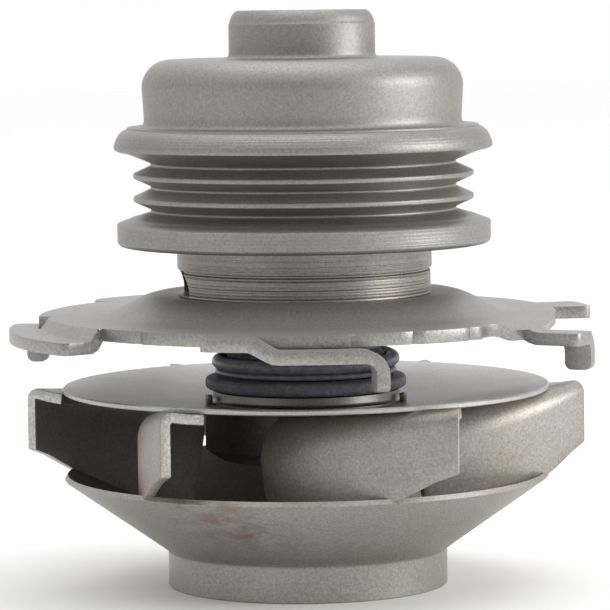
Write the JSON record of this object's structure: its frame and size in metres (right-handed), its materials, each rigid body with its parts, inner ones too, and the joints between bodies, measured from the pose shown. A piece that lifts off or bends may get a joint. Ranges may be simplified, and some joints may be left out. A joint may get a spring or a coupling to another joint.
{
  "type": "water pump",
  "caption": "Cartridge engine coolant pump: grooved belt pulley on a bearing body, bayonet mounting plate, shaft seal and closed stamped impeller with an inlet neck.",
  "frame": {"origin": "centre of the impeller's inlet neck at its open end", "axes": "+Z along the shaft from the inlet to the pulley, -Y to the front where the longest plate lug is, +X to the right"},
  "size_m": [0.0913, 0.0861, 0.0889],
  "materials": {
    "drawn_steel": "bead-blasted satin",
    "turned_steel": "satin with fine turning lines",
    "stamped_steel": "bead-blasted satin with brighter sheared edges",
    "vane_steel": "bead-blasted satin",
    "ground_steel": "ground",
    "ball_steel": "polished",
    "plated_steel": "plated satin",
    "black_steel": "black satin",
    "cage_plastic": "matte",
    "seal_rubber": "matte",
    "carbon": "lapped satin",
    "ceramic_seat": "lapped satin"
  },
  "bodies": {
    "housing": {"bearing_race": "ground_steel", "bearing_seal_upper": "seal_rubber", "bearing_seal_lower": "seal_rubber", "bearing_body": "turned_steel", "mounting_plate": "stamped_steel", "seal_cup": "plated_steel", "seal_bellows": "seal_rubber", "seal_spring": "black_steel", "spring_collar": "black_steel", "carbon_ring": "carbon"},
    "rotor": {"pulley_hub": "drawn_steel", "pulley_band": "turned_steel", "pump_shaft": "ground_steel", "slinger": "plated_steel", "impeller_hub": "ground_steel", "back_plate": "stamped_steel", "vane_1": "vane_steel", "vane_2": "vane_steel", "vane_3": "vane_steel", "vane_4": "vane_steel", "vane_5": "vane_steel", "vane_6": "vane_steel", "shroud": "stamped_steel", "seat_ring": "ceramic_seat", "seat_boot": "seal_rubber", "seat_cup": "plated_steel"},
    "cage_set_upper": {"balls_upper": "ball_steel", "cage_upper": "cage_plastic"},
    "cage_set_lower": {"balls_lower": "ball_steel", "cage_lower": "cage_plastic"}
  },
  "joints": [
    {"name": "shaft_spin", "type": "hinge", "parent": "housing", "child": "rotor", "pos_m": [0, 0, 0.06], "axis": [0, 0, 1], "continuous": true},
    {"name": "upper_cage_spin", "type": "hinge", "parent": "housing", "child": "cage_set_upper", "pos_m": [0, 0, 0.072], "axis": [0, 0, 1], "continuous": true},
    {"name": "lower_cage_spin", "type": "hinge", "parent": "housing", "child": "cage_set_lower", "pos_m": [0, 0, 0.0555], "axis": [0, 0, 1], "continuous": true}
  ],
  "couplings": [
    {"joint": "upper_cage_spin", "follows": "shaft_spin", "ratio": 0.3509},
    {"joint": "lower_cage_spin", "follows": "shaft_spin", "ratio": 0.3509}
  ]
}
